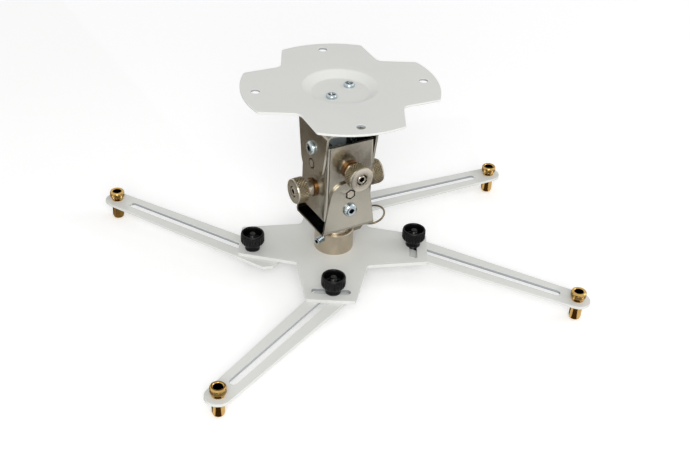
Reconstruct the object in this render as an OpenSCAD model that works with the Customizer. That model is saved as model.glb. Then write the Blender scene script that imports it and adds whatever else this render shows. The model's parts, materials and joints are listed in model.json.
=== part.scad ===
// Projector mount: a cross shaped ceiling plate, a two axis adjusting head
// and a hub plate that carries four swinging arms with hollow brass screws.
// Millimetres, +Z up. The origin is the centre of the ceiling plate's top face.
// X is the axis of the tilt pivots and Y is the axis of the roll pivots.

/* [Ceiling plate] */
// Radius of the outer arcs of the four lobes
plate_r = 79.5; // [74:0.5:110]
// Half width of a lobe at its outer corners
lobe_half = 34; // [26:0.5:38]
// Flare of a lobe's sides towards the centre, in degrees
lobe_flare = 12; // [4:0.5:16]
// Sheet thickness of the ceiling plate
plate_t = 2; // [1.5:0.1:3]
// Corner radius at the outer end of a lobe
lobe_corner_r = 3; // [1:0.5:5]
// Corner radius between two lobes
lobe_inner_r = 7; // [3:0.5:12]
// Pitch circle of the four ceiling holes
ceiling_pcd = 136; // [110:1:140]
// Diameter of a ceiling hole
ceiling_hole_d = 7; // [4:0.5:9]
// Turn of the ceiling plate against the head, in degrees
plate_yaw = -16.4; // [-45:0.1:45]
// Rim radius of the pressed dish
dish_r = 30.5; // [28:0.5:36]
// Width of the dish's sloping wall
dish_slope = 7.5; // [5:0.5:9]
// Depth of the dish
dish_depth = 5; // [4:0.5:7]
// Bend radius at the rim and floor of the dish
dish_bend_r = 3; // [1:0.5:5]

/* [Ceiling screws] */
// Distance between the two screws in the dish
ceiling_screw_gap = 25; // [20:0.5:28]
// Direction of the row of two screws, in degrees
ceiling_screw_yaw = 27.3; // [-90:0.1:90]
// Thread diameter of the ceiling screws
ceiling_screw_d = 5; // [4:0.5:6]
// Diameter of the round spacer between dish and upper bracket
spacer_d = 38; // [36:0.5:42]
// Diameter of the spacer's middle hole
spacer_bore = 12; // [8:0.5:14]

/* [Brackets] */
// Depth of the upper bracket's web below the plate's top face
head_drop = 28.6; // [24:0.1:60]
// Sheet thickness of the two brackets
bracket_t = 2; // [1.5:0.1:4]
// Length of a bracket's ears over the web
ear_h = 47.7; // [45:0.1:54]
// Half width of a bracket at its web
ear_root_half = 24.5; // [22:0.5:30]
// Taper of the ears' edges, in degrees
ear_taper = 9.6; // [4:0.2:12]
// Corner radius at the ear tips
ear_tip_r = 14; // [6:0.5:15]
// Outer bend radius of the brackets
bracket_bend_r = 4.5; // [3:0.5:8]
// Height of a pivot over its bracket's web face
pivot_h = 21.6; // [19:0.1:24]
// Distance from a pivot to its adjusting screw
pivot_arm = 14.5; // [13.5:0.1:16]
// Width across the flats of an ear's hexagonal window
window_af = 8.5; // [8:0.1:10]
// Gap between an ear's tip and the thrust washer beyond it
ear_room = 3; // [1.5:0.1:10]

/* [Tube] */
// Outer width of the square tube
tube_w = 43.5; // [42:0.5:60]
// Gap between each end of the tube and the web beside it
tube_gap = 11.1; // [8:0.1:13]
// Wall of the square tube
tube_t = 2.5; // [2:0.1:4]
// Outer corner radius of the square tube
tube_corner_r = 3; // [3:0.5:8]
// Gap between a tube face and the ear beside it
ear_gap = 0.2; // [0.1:0.05:0.5]
// Largest tilt and roll to each side, in degrees
tilt_max = 8; // [4:0.5:9]

/* [Pivot screws] */
// Thread diameter of the pivot screws
pivot_d = 6; // [5:0.5:8]
// Head diameter of the pivot screws
pivot_head_d = 12; // [9:0.5:13]
// Height of the pivot screws' button heads
pivot_head_h = 3.3; // [2.5:0.1:4]
// Width across the flats of the pivot screws' nuts
pivot_nut_af = 10; // [9:0.5:13]
// Thickness of the pivot screws' nuts
pivot_nut_t = 5; // [4:0.5:6]

/* [Adjusting screws] */
// Thread diameter of the two adjusting screws
adj_d = 8; // [6:0.5:8]
// Diameter of the four thumb knobs
thumb_d = 22; // [18:0.5:26]
// Length of a thumb knob
thumb_l = 10.5; // [8:0.5:14]
// Depth of the hexagon sockets in the ends of the adjusting screws
socket_deep = 4.5; // [3:0.5:8]
// Diameter of the bronze thrust washers
thrust_d = 16; // [15:0.5:17]
// Thickness of the bronze thrust washers
thrust_t = 2; // [1:0.1:2.5]
// Width across the flats of the lock nuts
lock_af = 13; // [12:0.5:13]
// Thickness of the lock nuts
lock_t = 6; // [4:0.5:7]
// Width across the flats of the trunnions' hexagonal ends
trunnion_af = 6.2; // [5.5:0.1:7.2]
// Side of the trunnions' square middle block
trunnion_block = 14; // [12:0.5:15]

/* [Post and collar] */
// Diameter of the post under the lower bracket
post_d = 27; // [24:0.5:28]
// Outer diameter of the collar
collar_d = 33; // [32:0.5:40]
// Height of the collar
collar_h = 18.5; // [18:0.5:26]
// Thickness of the collar's floor
collar_floor = 5; // [4:0.5:6]
// Open height between lower bracket and collar
collar_gap = 9.1; // [7:0.1:16]
// Depth of the catch screw below the collar's rim
catch_drop = 4.3; // [4.2:0.1:6]
// Diameter of the set screw in the collar
set_d = 6; // [5:0.5:6]
// Stretch of the set screw outside the collar
set_out = 7; // [3:0.5:10]
// Direction of the set screw, in degrees
set_yaw = -158; // [-170:1:-130]
// Direction of the plunger, in degrees
plunger_yaw = 4; // [-10:1:30]
// Width across the flats of the plunger's body
plunger_af = 10; // [9:0.5:11]
// Ring radius of the pull ring, to the middle of its wire
ring_r = 11; // [8:0.5:14]
// Wire diameter of the pull ring
ring_wire = 1.7; // [1.2:0.1:2]
// Upward lean of the pull ring, in degrees
ring_lean = 20; // [0:1:45]

/* [Hub plate] */
// Reach of the hub plate's lobes
hub_r = 80.5; // [78:0.5:100]
// Half width of a hub lobe at its end
hub_half = 20; // [19:0.5:24]
// Flare of a hub lobe's sides towards the centre, in degrees
hub_flare = 10.7; // [6:0.1:16]
// Sheet thickness of the hub plate
hub_t = 3; // [2.5:0.1:4]
// Corner radius of the hub plate
hub_corner_r = 3; // [1:0.5:5]
// Turn of the hub plate against the head, in degrees
hub_yaw = -30.5; // [-45:0.5:45]
// Distance from the centre to the hub plate's slots
slot_r = 68.5; // [62:0.5:70]
// Overall length of a hub slot
slot_l = 32; // [28:0.5:33]
// Width of the hub slots and arm slots
slot_w = 6.5; // [6.3:0.1:7]

/* [Arms] */
// Sheet thickness of the arms
arm_t = 2.5; // [2:0.1:3.5]
// Distance from an arm's brass screw to its inner end
arm_l = 174; // [172:1:200]
// Radius of an arm's outer tip
arm_tip_r = 10.5; // [9:0.5:12]
// Half width of an arm at its inner end
arm_root_half = 14.8; // [13:0.1:17]
// Cut corner of an arm's inner end
arm_clip = 6; // [3:0.5:8]
// Distance from the brass screw to the slot's outer end
arm_slot_from = 15; // [14:0.5:20]
// Width of the web that closes the slot at the arm's inner end
arm_end_web = 12; // [8:0.5:14]

/* [Clamp bolts and knobs] */
// Thread diameter of the clamp bolts
clamp_d = 6; // [5:0.1:6]
// Head diameter of the clamp bolts
clamp_head_d = 13; // [12:0.5:15]
// Diameter of the clamp knobs
knob_d = 20; // [18:0.5:24]
// Height of the clamp knobs
knob_h = 15; // [14:0.5:20]
// Depth of the knobs' cup
knob_cup = 8; // [6:0.5:9]
// Height of the bolt's end over the floor of the knob's cup
bolt_proud = 7; // [2:0.5:9]
// Diameter of the flat washer under a clamp knob
clamp_washer_d = 12.6; // [12:0.1:16]
// Number of ribs round a clamp knob
knob_ribs = 24; // [16:1:30]

/* [Brass screws] */
// Diameter of the brass screws' knurled heads
brass_head_d = 13; // [12:0.5:15]
// Height of the brass screws' knurled heads
brass_head_h = 5.6; // [4:0.1:7]
// Height of the neck between head and arm
brass_neck_h = 3; // [2:0.1:5]
// Diameter of the neck and of the leg below the arm
brass_d = 10; // [9:0.1:11]
// Length of the brass leg below the arm
brass_leg_l = 15.7; // [10:0.1:25]
// Diameter of the screw hole through the brass
brass_bore = 4.5; // [3:0.1:5]
// Diameter of the recess for the projector screw's head
brass_recess_d = 7.4; // [6.5:0.1:8]

/* [Hidden] */
$fn = 64;

fit = 0.05;          // radial room of a screw in its thread or a pin in its bore
turn = 0.1;          // radial room of what turns or slides in a hole
cut = 1;             // how far a cutting body runs past what it cuts

// Height of the head over both brackets, and the tube between them
head_h = ear_h + ear_room + thrust_d / 2 + pivot_h + pivot_arm;
tube_l = head_h - 2 * (bracket_t + tube_gap);

// Levels, from the ceiling down
dish_floor_z = -dish_depth;
spacer_top_z = dish_floor_z - plate_t;
upper_z = -head_drop;
lower_z = upper_z - head_h;
head_mid_z = (upper_z + lower_z) / 2;
tilt_pivot_z = upper_z - pivot_h;
roll_pivot_z = lower_z + pivot_h;
tilt_screw_z = tilt_pivot_z - pivot_arm;
roll_screw_z = roll_pivot_z + pivot_arm;
collar_top_z = lower_z - collar_gap;
hub_top_z = collar_top_z - collar_h;
catch_z = collar_top_z - catch_drop;
arm_top_z = hub_top_z - hub_t;
arm_low_z = arm_top_z - arm_t;

// Head
ear_in = tube_w / 2 + ear_gap;
ear_out = ear_in + bracket_t;
thumb_in = tube_w / 2 + thrust_t + lock_t + 2 * turn;
thumb_out = thumb_in + thumb_l;
trunnion_half = ear_out + 0.3;
trunnion_throw = pivot_arm * tan(tilt_max);
socket_af = adj_d / 2;

// Post and collar
post_end_z = hub_top_z + collar_floor + 0.3;
spigot_d = 16;
groove_half = 3.5;
groove_d = post_d - 6;
plunger_l = 9;
plunger_eye = 6;
plunger_eye_r = collar_d / 2 + plunger_l + 0.3 + plunger_eye / 2;
hub_screw_r = 8;
hub_screw_d = 5;

// Arms: place of the bolt along its hub slot, heading of the arm, and how far
// its inner end runs past the bolt
bolt_shift = [5.5, -12.5, 11.8, 1.6];
arm_heading = [-56.3, -3.2, 120.1, -152.4];
arm_tail = [25.4, 25.2, 26.8, 24.5];
arm_reach = [for (tail = arm_tail) arm_l - tail];
arm_slot_to = arm_l - arm_end_web;
clamp_washer_t = 1;
clamp_head_h = 3;
clamp_neck = slot_w - 0.2;
clamp_neck_h = arm_t - 0.4;
clamp_end_z = hub_top_z + clamp_washer_t + knob_h - knob_cup + bolt_proud;
spigot_hole_d = 8;

// Outline helpers. A corner is [x, y, r], and r = 0 keeps it sharp.
function unit(v) = v / norm(v);
function short_turn(a) = a > 180 ? a - 360 : a < -180 ? a + 360 : a;
function polar(r, a) = [r * cos(a), r * sin(a)];

function corner_arc(p, a, b, r, n) =
    let (u = unit(a - p), v = unit(b - p), h = acos(u * v) / 2,
         c = p + unit(u + v) * r / sin(h),
         s = p + u * r / tan(h) - c, e = p + v * r / tan(h) - c,
         from = atan2(s[1], s[0]), by = short_turn(atan2(e[1], e[0]) - from))
    [for (i = [0:n]) c + polar(r, from + by * i / n)];

function xy(q) = [q[0], q[1]];
function rounded(path, n = 8) =
    let (m = len(path))
    [for (i = [0:m - 1])
        each (path[i][2] > 0
            ? corner_arc(xy(path[i]), xy(path[(i + m - 1) % m]),
                         xy(path[(i + 1) % m]), path[i][2], n)
            : [xy(path[i])])];

function turned(q, a) = [q[0] * cos(a) - q[1] * sin(a),
                         q[0] * sin(a) + q[1] * cos(a), q[2]];

// A slot with round ends along X, cut or filled through height h about z = 0
module slot(l, w, h) {
    cube([l - w, w, h], center = true);
    for (s = [-1, 1])
        translate([s * (l - w) / 2, 0, 0])
            cylinder(d = w, h = h, center = true);
}

// A hexagonal prism with its points up and down when it lies on its side
module hex(af, h) {
    cylinder(d = af / cos(30), h = h, center = true, $fn = 6);
}

// A cylinder with a chamfer at its far end, standing on z = 0
module chamfered(d, h, c) {
    rotate_extrude()
        polygon([[0, 0], [d / 2, 0], [d / 2, h - c], [d / 2 - c, h], [0, h]]);
}

// Turns a body that stands along Z to point along an axis of the head
module along_x(s = 1) { rotate([0, s * 90, 0]) children(); }
module along_y(s = 1) { rotate([-s * 90, 0, 0]) children(); }

module ceiling_outline() {
    end_x = sqrt(plate_r * plate_r - lobe_half * lobe_half);
    end_a = asin(lobe_half / plate_r);
    inner = (lobe_half + end_x * tan(lobe_flare)) / (1 + tan(lobe_flare));
    steps = 16;
    polygon(rounded([for (k = [0:3]) each [
        turned([end_x, -lobe_half, lobe_corner_r], 90 * k),
        for (i = [1:steps - 1])
            let (p = polar(plate_r, end_a * (2 * i / steps - 1)))
                turned([p[0], p[1], 0], 90 * k),
        turned([end_x, lobe_half, lobe_corner_r], 90 * k),
        turned([inner, inner, lobe_inner_r], 90 * k)]]));
}

module ceiling_plate() {
    floor_r = dish_r - dish_slope;
    rim_r = dish_r + 2 * dish_bend_r;
    color("gainsboro") rotate(plate_yaw) difference() {
        union() {
            difference() {
                translate([0, 0, -plate_t])
                    linear_extrude(plate_t) ceiling_outline();
                translate([0, 0, -plate_t - cut])
                    cylinder(r = rim_r - 1, h = plate_t + 2 * cut, $fn = 96);
            }
            rotate_extrude($fn = 96) polygon(rounded([
                [0, dish_floor_z, 0],
                [floor_r, dish_floor_z, dish_bend_r],
                [dish_r, 0, dish_bend_r],
                [rim_r, 0, 0],
                [rim_r, -plate_t, 0],
                [dish_r, -plate_t, dish_bend_r],
                [floor_r, spacer_top_z, dish_bend_r],
                [0, spacer_top_z, 0]], 5));
        }
        for (k = [0:3])
            rotate(90 * k) translate([ceiling_pcd / 2, 0, -plate_t - cut])
                cylinder(d = ceiling_hole_d, h = plate_t + 2 * cut);
        rotate(ceiling_screw_yaw - plate_yaw) ceiling_screw_holes();
    }
}

// The two clearance holes that run through dish, spacer and web
module ceiling_screw_holes() {
    for (s = [-1, 1])
        translate([s * ceiling_screw_gap / 2, 0, upper_z - bracket_t - cut])
            cylinder(d = ceiling_screw_d + 2 * turn,
                     h = head_drop + bracket_t + cut);
}

module ceiling_spacer() {
    h = spacer_top_z - upper_z;
    color("silver") difference() {
        translate([0, 0, upper_z]) rotate_extrude()
            polygon([[0, 0], [spacer_d / 2 - 1, 0], [spacer_d / 2, 1],
                     [spacer_d / 2, h - 1], [spacer_d / 2 - 1, h], [0, h]]);
        rotate(ceiling_screw_yaw) ceiling_screw_holes();
        translate([0, 0, upper_z - cut]) cylinder(d = spacer_bore, h = h + 2 * cut);
    }
}

module ceiling_screws() {
    head_h2 = 3;
    shank = plate_t + (spacer_top_z - upper_z) + bracket_t + 5.2;
    color("lightsteelblue") rotate(ceiling_screw_yaw) for (s = [-1, 1])
        translate([s * ceiling_screw_gap / 2, 0, dish_floor_z]) {
            difference() {
                rotate_extrude() polygon(rounded([
                    [0, 0, 0], [4.5, 0, 0], [4.5, head_h2, 1.8],
                    [0, head_h2, 0]], 5));
                for (a = [45, 135])
                    rotate(a) translate([0, 0, head_h2])
                        cube([4.6, 1, 3], center = true);
            }
            translate([0, 0, -shank]) cylinder(d = ceiling_screw_d, h = shank + 0.5);
        }
}

module ceiling_nuts() {
    color("lightsteelblue") rotate(ceiling_screw_yaw) for (s = [-1, 1])
        translate([s * ceiling_screw_gap / 2, 0, upper_z - bracket_t - 2])
            difference() {
                hex(8, 4);
                cylinder(d = ceiling_screw_d + 2 * fit, h = 6, center = true);
            }
}

// One folded bracket, its web's outer face on z = 0 and its ears up along +Z,
// facing each other across X
module bracket_blank() {
    root = ear_root_half;
    tip = root - ear_h * tan(ear_taper);
    intersection() {
        rotate([90, 0, 0])
            linear_extrude(2 * root + 2 * cut, center = true)
                polygon(rounded([
                    [-ear_out, 0, bracket_bend_r], [ear_out, 0, bracket_bend_r],
                    [ear_out, ear_h + cut, 0], [ear_in, ear_h + cut, 0],
                    [ear_in, bracket_t, bracket_bend_r - bracket_t],
                    [-ear_in, bracket_t, bracket_bend_r - bracket_t],
                    [-ear_in, ear_h + cut, 0], [-ear_out, ear_h + cut, 0]], 6));
        rotate([90, 0, 90])
            linear_extrude(2 * ear_out + 2 * cut, center = true)
                polygon(rounded([
                    [-root, 0, 1], [root, 0, 1],
                    [tip, ear_h, ear_tip_r], [-tip, ear_h, ear_tip_r]], 14));
    }
}

module bracket() {
    difference() {
        bracket_blank();
        translate([0, 0, pivot_h]) along_x()
            cylinder(d = pivot_d + 2 * turn, h = 2 * ear_out + 2 * cut, center = true);
        translate([0, 0, pivot_h + pivot_arm]) along_x()
            hex(window_af, 2 * ear_out + 2 * cut);
    }
}

module upper_bracket() {
    color("darkgray") difference() {
        translate([0, 0, upper_z]) rotate([180, 0, 0]) bracket();
        rotate(ceiling_screw_yaw) ceiling_screw_holes();
    }
}

module lower_bracket() {
    color("darkgray") difference() {
        translate([0, 0, lower_z]) rotate(90) bracket();
        translate([0, 0, lower_z - cut])
            cylinder(d = spigot_d + 2 * fit, h = bracket_t + 2 * cut);
    }
}

module tube_outline(w, r) {
    polygon(rounded([[-w / 2, -w / 2, r], [w / 2, -w / 2, r],
                     [w / 2, w / 2, r], [-w / 2, w / 2, r]], 6));
}

module head_tube() {
    slot_long = trunnion_af / cos(30) + 2 * trunnion_throw + 1.2;
    slot_high = trunnion_af / cos(30) + 0.8;
    color("darkgray") difference() {
        translate([0, 0, head_mid_z]) difference() {
            linear_extrude(tube_l, center = true) tube_outline(tube_w, tube_corner_r);
            linear_extrude(tube_l + 2 * cut, center = true)
                tube_outline(tube_w - 2 * tube_t, max(0.5, tube_corner_r - tube_t));
        }
        // pivot holes
        translate([0, 0, tilt_pivot_z]) along_x()
            cylinder(d = pivot_d + 2 * fit, h = tube_w + 2 * cut, center = true);
        translate([0, 0, roll_pivot_z]) along_y()
            cylinder(d = pivot_d + 2 * fit, h = tube_w + 2 * cut, center = true);
        // bearings of the adjusting screws
        translate([0, 0, tilt_screw_z]) along_y()
            cylinder(d = adj_d + 2 * turn, h = tube_w + 2 * cut, center = true);
        translate([0, 0, roll_screw_z]) along_x()
            cylinder(d = adj_d + 2 * turn, h = tube_w + 2 * cut, center = true);
        // slots that the trunnions travel in
        translate([0, 0, tilt_screw_z])
            cube([tube_w + 2 * cut, slot_long, slot_high], center = true);
        translate([0, 0, roll_screw_z])
            cube([slot_long, tube_w + 2 * cut, slot_high], center = true);
    }
}

// A button head screw that stands on z = 0 with its shank down to -l
module button_screw(d, head_d, head_h, socket, l) {
    difference() {
        union() {
            rotate_extrude() polygon(rounded([
                [0, 0, 0], [head_d / 2, 0, 0], [head_d / 2, 0.6, 0.3],
                [head_d / 3.2, head_h, head_h * 0.6], [0, head_h, 0]], 6));
            translate([0, 0, -l]) cylinder(d = d, h = l + 0.2);
        }
        translate([0, 0, head_h]) hex(socket, 2 * head_h * 0.62);
    }
}

module pivot_screw() {
    button_screw(pivot_d, pivot_head_d, pivot_head_h, 4,
                 bracket_t + ear_gap + tube_t + turn + pivot_nut_t + 0.5);
}

module pivot_nut() {
    translate([0, 0, tube_w / 2 - tube_t - pivot_nut_t / 2]) difference() {
        hex(pivot_nut_af, pivot_nut_t);
        cylinder(d = pivot_d + 2 * fit, h = pivot_nut_t + 2 * cut, center = true);
    }
}

module tilt_pivot_screws() {
    color("lightsteelblue") translate([0, 0, tilt_pivot_z]) for (s = [-1, 1])
        along_x(s) translate([0, 0, ear_out + turn]) pivot_screw();
}

module roll_pivot_screws() {
    color("lightsteelblue") translate([0, 0, roll_pivot_z]) for (s = [-1, 1])
        along_y(s) translate([0, 0, ear_out + turn]) pivot_screw();
}

module tilt_pivot_nuts() {
    color("lightsteelblue") translate([0, 0, tilt_pivot_z]) for (s = [-1, 1])
        along_x(s) pivot_nut();
}

module roll_pivot_nuts() {
    color("lightsteelblue") translate([0, 0, roll_pivot_z]) for (s = [-1, 1])
        along_y(s) pivot_nut();
}

// A threaded rod along Z with a hexagon socket in each end
module adjusting_screw() {
    difference() {
        cylinder(d = adj_d, h = 2 * thumb_out, center = true);
        for (s = [-1, 1]) translate([0, 0, s * thumb_out]) hex(socket_af, 2 * socket_deep);
    }
}

// A thumb knob on the rod's end, with its back on z = 0
module thumb_knob() {
    r = thumb_d / 2;
    bore = adj_d / 2 + fit;
    groove = adj_d / 2 + 1;
    rotate_extrude($fn = 96) polygon([
        [bore, 0], [r - 1, 0], [r, 1], [r, thumb_l - 1.4],
        [r - 0.6, thumb_l - 1.1], [r - 0.6, thumb_l - 0.5],
        [r - 1.1, thumb_l], [groove, thumb_l], [groove, thumb_l - 0.8],
        [bore, thumb_l - 0.8]]);
}

module lock_nut() {
    difference() {
        intersection() {
            hex(lock_af, lock_t);
            cylinder(d1 = lock_af + 4, d2 = lock_af + 0.6, h = lock_t, center = true);
            cylinder(d2 = lock_af + 4, d1 = lock_af + 0.6, h = lock_t, center = true);
        }
        cylinder(d = adj_d + 2 * fit, h = lock_t + 2 * cut, center = true);
    }
}

module thrust_washer() {
    difference() {
        cylinder(d = thrust_d, h = thrust_t);
        translate([0, 0, -cut])
            cylinder(d = adj_d + 2 * turn, h = thrust_t + 2 * cut);
    }
}

// The nut of an adjusting screw: a square block with a hexagonal end in the
// window of each ear. It lies along X, and its screw runs along Y.
module trunnion() {
    difference() {
        union() {
            cube(trunnion_block, center = true);
            along_x() hex(trunnion_af, 2 * trunnion_half);
        }
        along_y() cylinder(d = adj_d + 2 * fit, h = 2 * trunnion_block, center = true);
    }
}

module tilt_screw() {
    color("silver") translate([0, 0, tilt_screw_z]) along_y() adjusting_screw();
}

module roll_screw() {
    color("silver") translate([0, 0, roll_screw_z]) along_x() adjusting_screw();
}

module tilt_knob_front() {
    color("silver") translate([0, 0, tilt_screw_z]) along_y(-1)
        translate([0, 0, thumb_in]) thumb_knob();
}

module tilt_knob_back() {
    color("silver") translate([0, 0, tilt_screw_z]) along_y(1)
        translate([0, 0, thumb_in]) thumb_knob();
}

module roll_knob_left() {
    color("silver") translate([0, 0, roll_screw_z]) along_x(-1)
        translate([0, 0, thumb_in]) thumb_knob();
}

module roll_knob_right() {
    color("silver") translate([0, 0, roll_screw_z]) along_x(1)
        translate([0, 0, thumb_in]) thumb_knob();
}

module tilt_lock_nuts() {
    color("lightsteelblue") translate([0, 0, tilt_screw_z]) for (s = [-1, 1])
        along_y(s) translate([0, 0, thumb_in - lock_t / 2]) lock_nut();
}

module roll_lock_nuts() {
    color("lightsteelblue") translate([0, 0, roll_screw_z]) for (s = [-1, 1])
        along_x(s) translate([0, 0, thumb_in - lock_t / 2]) lock_nut();
}

module tilt_thrust_washers() {
    color("peru") translate([0, 0, tilt_screw_z]) for (s = [-1, 1])
        along_y(s) translate([0, 0, tube_w / 2]) thrust_washer();
}

module roll_thrust_washers() {
    color("peru") translate([0, 0, roll_screw_z]) for (s = [-1, 1])
        along_x(s) translate([0, 0, tube_w / 2]) thrust_washer();
}

module tilt_trunnion() {
    color("silver") translate([0, 0, tilt_screw_z]) trunnion();
}

module roll_trunnion() {
    color("silver") translate([0, 0, roll_screw_z]) rotate(90) trunnion();
}

// Riveted into the lower bracket's web, with a groove that the set screw and
// the plunger catch in
module swivel_post() {
    r = post_d / 2;
    g = groove_d / 2;
    web = lower_z + bracket_t;
    color("silver") rotate_extrude($fn = 96) polygon([
        [0, post_end_z], [r - 1, post_end_z], [r, post_end_z + 1],
        [r, catch_z - groove_half], [g, catch_z - groove_half],
        [g, catch_z + groove_half], [r, catch_z + groove_half],
        [r, lower_z], [spigot_d / 2, lower_z], [spigot_d / 2, web],
        [spigot_d / 2 + 2, web], [spigot_d / 2 + 1, web + 1.2],
        [spigot_d / 2 - 2, web + 2], [0, web + 2]]);
}

module collar() {
    r = collar_d / 2;
    bore = post_d / 2 + turn;
    color("silver") difference() {
        translate([0, 0, hub_top_z]) rotate_extrude($fn = 96) polygon([
            [0, 0], [r, 0], [r, collar_h - 0.5], [r - 0.5, collar_h],
            [bore + 0.4, collar_h], [bore, collar_h - 0.4],
            [bore, collar_floor], [0, collar_floor]]);
        // threaded side holes for the set screw and the plunger
        translate([0, 0, catch_z]) rotate(set_yaw) along_x()
            cylinder(d = set_d + 2 * fit, h = collar_d);
        translate([0, 0, catch_z]) rotate(plunger_yaw) along_x()
            cylinder(d = plunger_af - 4 + 2 * fit, h = collar_d);
        for (k = [0:2])
            rotate(120 * k) translate([hub_screw_r, 0, hub_top_z - cut])
                cylinder(d = hub_screw_d + 2 * fit, h = collar_floor + 2 * cut);
    }
}

module set_screw() {
    tip_r = groove_d / 2 + 0.4;
    l = collar_d / 2 + set_out - tip_r;
    color("lightsteelblue") translate([0, 0, catch_z]) rotate(set_yaw) along_x()
        translate([0, 0, tip_r]) difference() {
            chamfered(set_d, l, 0.6);
            translate([0, 0, l]) hex(3, 7);
        }
}

// The plunger's threaded and hexagonal body, along +Z from the post's groove
module plunger_body() {
    r = collar_d / 2;
    nose = 2.4;
    color("darkkhaki") translate([0, 0, catch_z]) rotate(plunger_yaw) along_x()
        difference() {
            union() {
                translate([0, 0, r + plunger_l / 2]) rotate(30) hex(plunger_af, plunger_l);
                translate([0, 0, r - nose]) cylinder(d = plunger_af - 4, h = nose + 1);
            }
            cylinder(d = 4 + 2 * turn, h = r + plunger_l + cut);
        }
}

module plunger_pin() {
    tip_r = groove_d / 2 + 0.4;
    eye_r = collar_d / 2 + plunger_l + 0.3;
    color("darkkhaki") translate([0, 0, catch_z]) rotate(plunger_yaw) along_x()
        difference() {
            union() {
                translate([0, 0, tip_r]) cylinder(d = 4, h = eye_r - tip_r + 1);
                translate([0, 0, eye_r]) chamfered(7, plunger_eye, 0.6);
            }
            translate([0, 0, plunger_eye_r]) along_y()
                cylinder(d = ring_wire + 1.4, h = 9, center = true);
        }
}

module pull_ring() {
    color("darkkhaki") translate([0, 0, catch_z]) rotate(plunger_yaw)
        translate([plunger_eye_r, 0, 0]) rotate([0, -ring_lean, 0])
            translate([ring_r - 0.25, 0, 0])
                rotate_extrude() translate([ring_r, 0]) circle(d = ring_wire, $fn = 24);
}

module hub_outline() {
    inner = (hub_half + hub_r * tan(hub_flare)) / (1 + tan(hub_flare));
    polygon(rounded([for (k = [0:3]) each [
        turned([hub_r, -hub_half, hub_corner_r], 90 * k),
        turned([hub_r, hub_half, hub_corner_r], 90 * k),
        turned([inner, inner, hub_corner_r + 1], 90 * k)]]));
}

module hub_plate() {
    color("lightgray") rotate(hub_yaw) difference() {
        translate([0, 0, arm_top_z]) linear_extrude(hub_t) hub_outline();
        for (k = [0:3])
            rotate(90 * k) translate([slot_r, 0, arm_top_z + hub_t / 2])
                rotate(90) slot(slot_l, slot_w, hub_t + 2 * cut);
        rotate(-hub_yaw) for (k = [0:2])
            rotate(120 * k) translate([hub_screw_r, 0, arm_top_z]) {
                cylinder(d = hub_screw_d + 2 * turn, h = hub_t + cut);
                hub_screw_sink(turn);
            }
    }
}

// The countersink of a hub screw, with its wide end on z = 0
module hub_screw_sink(room) {
    d = hub_screw_d;
    translate([0, 0, -room])
        cylinder(d1 = 2 * d + 2 * room, d2 = d + 2 * room, h = d / 2 + room);
}

module hub_screws() {
    color("lightsteelblue") for (k = [0:2])
        rotate(120 * k) translate([hub_screw_r, 0, arm_top_z]) difference() {
            union() {
                hub_screw_sink(0);
                cylinder(d = hub_screw_d, h = hub_t + collar_floor - 0.5);
            }
            hex(3, 3.4);
        }
}

// Puts an arm's parts in place: z = 0 is the hub plate's top face, the
// origin is the bolt, and +X runs out along the arm
module at_bolt(i) {
    rotate(hub_yaw + 90 * i) translate([slot_r, bolt_shift[i], 0])
        rotate(arm_heading[i] - hub_yaw - 90 * i) children();
}

module arm(i) {
    lean = asin((arm_root_half - arm_tip_r) / arm_l);
    steps = 16;
    tip = [for (k = [0:steps])
        let (p = polar(arm_tip_r, (90 - lean) * (2 * k / steps - 1)))
            [p[0], p[1], 0]];
    end = [[arm_clip - arm_l, arm_root_half, 2], [-arm_l, arm_root_half - arm_clip, 2],
           [-arm_l, arm_clip - arm_root_half, 2], [arm_clip - arm_l, -arm_root_half, 2]];
    slot_mid = (arm_slot_from + arm_slot_to) / 2;
    color("lightgray") at_bolt(i) translate([arm_reach[i], 0, arm_low_z]) difference() {
        linear_extrude(arm_t) polygon(rounded(concat(tip, end), 4));
        translate([-slot_mid, 0, arm_t / 2])
            slot(arm_slot_to - arm_slot_from, slot_w, arm_t + 2 * cut);
        translate([0, 0, -cut])
            cylinder(d = spigot_hole_d + 2 * turn, h = arm_t + 2 * cut);
    }
}

module clamp_bolt(i) {
    r = clamp_head_d / 2;
    color("lightsteelblue") at_bolt(i) {
        translate([0, 0, arm_low_z - clamp_head_h]) rotate_extrude() polygon(rounded([
            [0, 0, 0], [r * 0.6, 0, 2], [r, clamp_head_h * 0.7, 0.5],
            [r, clamp_head_h, 0], [0, clamp_head_h, 0]], 5));
        translate([0, 0, arm_low_z + clamp_neck_h / 2 - 0.1])
            cube([clamp_neck, clamp_neck, clamp_neck_h + 0.2], center = true);
        translate([0, 0, arm_low_z])
            chamfered(clamp_d, clamp_end_z - arm_low_z, 0.6);
    }
}

module clamp_washer(i) {
    color("dimgray") at_bolt(i) translate([0, 0, hub_top_z]) difference() {
        cylinder(d = clamp_washer_d, h = clamp_washer_t);
        translate([0, 0, -cut])
            cylinder(d = clamp_d + 2 * turn, h = clamp_washer_t + 2 * cut);
    }
}

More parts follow.
